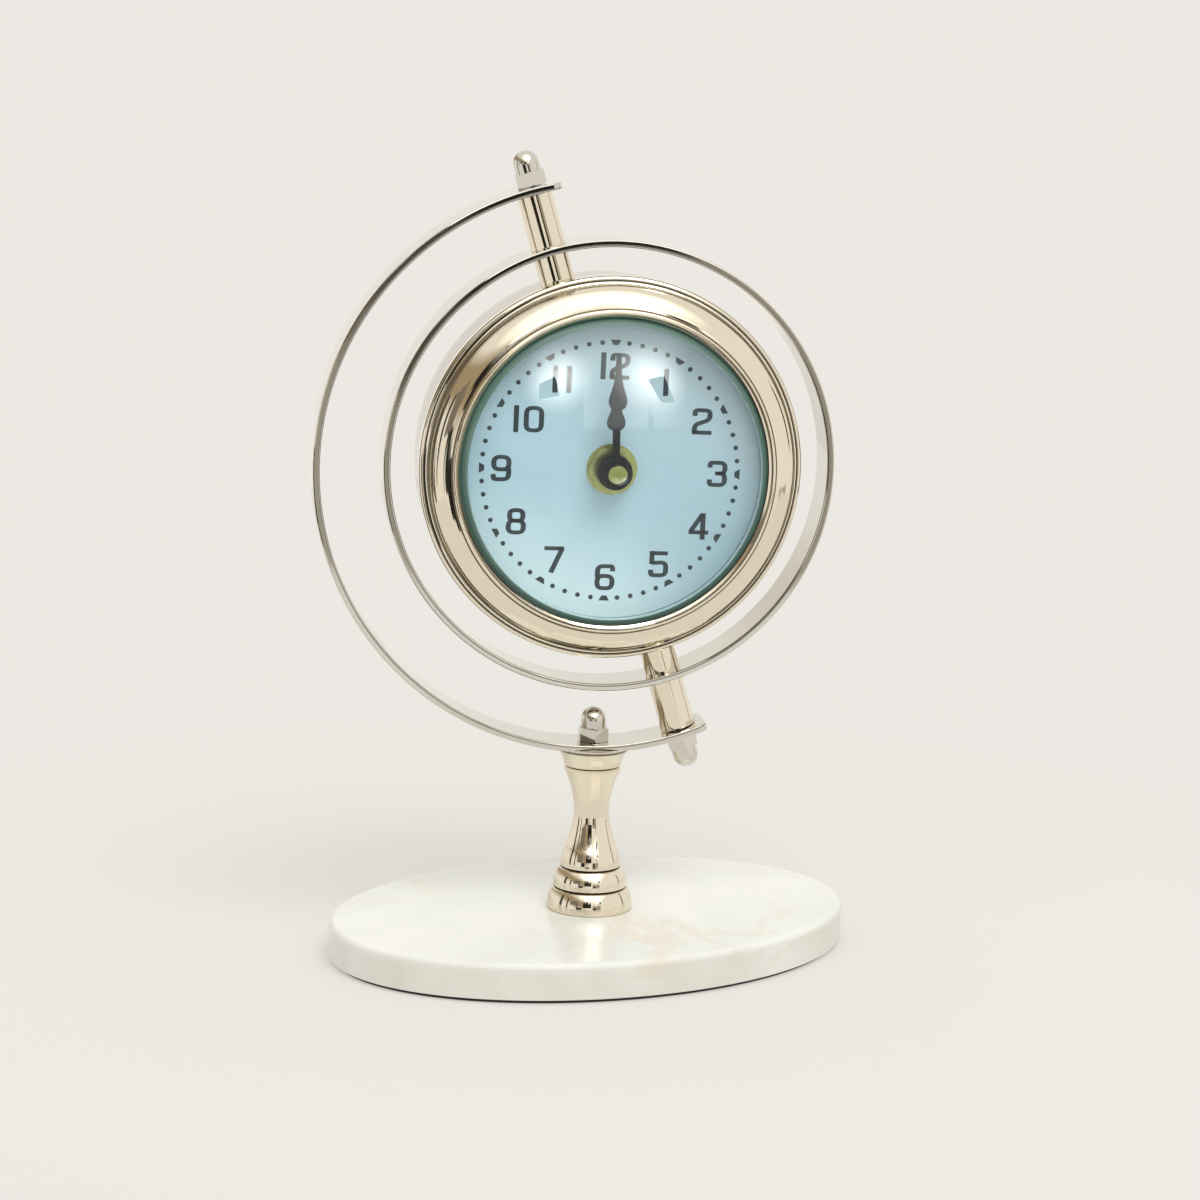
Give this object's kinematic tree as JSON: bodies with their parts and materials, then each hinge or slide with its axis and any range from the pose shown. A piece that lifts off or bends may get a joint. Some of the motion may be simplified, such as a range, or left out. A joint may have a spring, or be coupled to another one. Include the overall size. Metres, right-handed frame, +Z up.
{
  "type": "globe desk clock",
  "caption": "Round desk clock in a metal ring, turning on a leaning axis in a half-circle arm, on a turned pillar and an oval marble base.",
  "frame": {"origin": "middle of the underside of the felt pad, straight below the pillar", "axes": "+Z up, the dial faces -Y, +X to the right of someone reading the dial"},
  "size_m": [0.1542, 0.1124, 0.224],
  "materials": {
    "felt": "matt black felt",
    "marble": "polished white marble with faint peach veins and grey-green clouds",
    "nickel": "warm bright nickel plate, mirror polished",
    "steel": "plain zinc-plated steel",
    "glass": "clear domed glass with a green-tinted bevelled edge",
    "rubber_seal": "black rubber",
    "spacer_plastic": "pale moulded plastic",
    "dial_paint": "pale blue printed metal dial",
    "brass": "plain yellow brass",
    "black_plastic": "black moulded plastic",
    "white_plastic": "white moulded acetal",
    "cell_sleeve": "plain dark sleeve on a steel cell",
    "copper_wire": "varnished copper winding on a bobbin",
    "board": "brown laminate with a black resin drop",
    "hand_paint": "glossy black paint"
  },
  "bodies": {
    "stand": {"felt_pad": "felt", "marble_base": "marble", "base_washer": "steel", "base_nut": "steel", "tie_rod": "steel", "pillar": "nickel", "meridian_arm": "nickel", "pillar_nut": "nickel"},
    "globe": {"pivot_rods": "steel", "axis_nuts": "nickel", "outer_tubes": "nickel", "ring": "nickel", "inner_tubes": "nickel", "lock_nuts": "steel", "drum_case": "nickel", "bezel": "nickel", "glass": "glass", "glass_seal": "rubber_seal", "glass_spacer": "spacer_plastic", "dial": "dial_paint", "post_washer": "brass", "post_nut": "brass", "movement_housing": "black_plastic", "train_plate": "white_plastic", "movement_back": "black_plastic", "coil": "copper_wire", "stator": "steel", "circuit_board": "board", "battery": "cell_sleeve", "battery_contacts": "steel"},
    "minute": {"minute_arbor": "brass", "minute_hand": "hand_paint", "hand_nut": "brass"},
    "hour": {"hour_wheel": "white_plastic", "hour_hand": "hand_paint"},
    "motion": {"motion_wheel": "white_plastic"},
    "setting": {"setting_arbor": "white_plastic", "setting_knob": "white_plastic"},
    "fourth": {"fourth_wheel": "white_plastic"},
    "third": {"third_wheel": "white_plastic"},
    "centre": {"centre_wheel": "white_plastic"},
    "rotor_body": {"rotor": "steel"}
  },
  "joints": [
    {"name": "globe_swivel", "type": "hinge", "parent": "stand", "child": "globe", "pos_m": [0.00211, 0, 0.13792], "axis": [-0.2823, 0, 0.9593], "continuous": true},
    {"name": "minute_turn", "type": "hinge", "parent": "globe", "child": "minute", "pos_m": [0.00211, 0, 0.13792], "axis": [0, 1, 0], "continuous": true},
    {"name": "hour_turn", "type": "hinge", "parent": "globe", "child": "hour", "pos_m": [0.00211, 0, 0.13792], "axis": [0, 1, 0], "continuous": true},
    {"name": "motion_turn", "type": "hinge", "parent": "globe", "child": "motion", "pos_m": [-0.00482, 0, 0.14192], "axis": [0, 1, 0], "continuous": true},
    {"name": "setting_turn", "type": "hinge", "parent": "globe", "child": "setting", "pos_m": [-0.01282, 0, 0.14192], "axis": [0, 1, 0], "continuous": true},
    {"name": "fourth_turn", "type": "hinge", "parent": "globe", "child": "fourth", "pos_m": [0.00797, 0, 0.15291], "axis": [0, 1, 0], "continuous": true},
    {"name": "third_turn", "type": "hinge", "parent": "globe", "child": "third", "pos_m": [0.01146, 0, 0.14332], "axis": [0, 1, 0], "continuous": true},
    {"name": "centre_turn", "type": "hinge", "parent": "globe", "child": "centre", "pos_m": [0.00211, 0, 0.13792], "axis": [0, 1, 0], "continuous": true},
    {"name": "rotor_turn", "type": "hinge", "parent": "globe", "child": "rotor_body", "pos_m": [-0.00222, 0, 0.15291], "axis": [0, 1, 0], "continuous": true}
  ],
  "couplings": [
    {"joint": "hour_turn", "follows": "minute_turn", "ratio": 0.083333},
    {"joint": "motion_turn", "follows": "minute_turn", "ratio": -0.33333},
    {"joint": "setting_turn", "follows": "minute_turn", "ratio": 1},
    {"joint": "third_turn", "follows": "fourth_turn", "ratio": -0.13333},
    {"joint": "centre_turn", "follows": "fourth_turn", "ratio": 0.016667},
    {"joint": "rotor_turn", "follows": "fourth_turn", "ratio": -7.5}
  ]
}
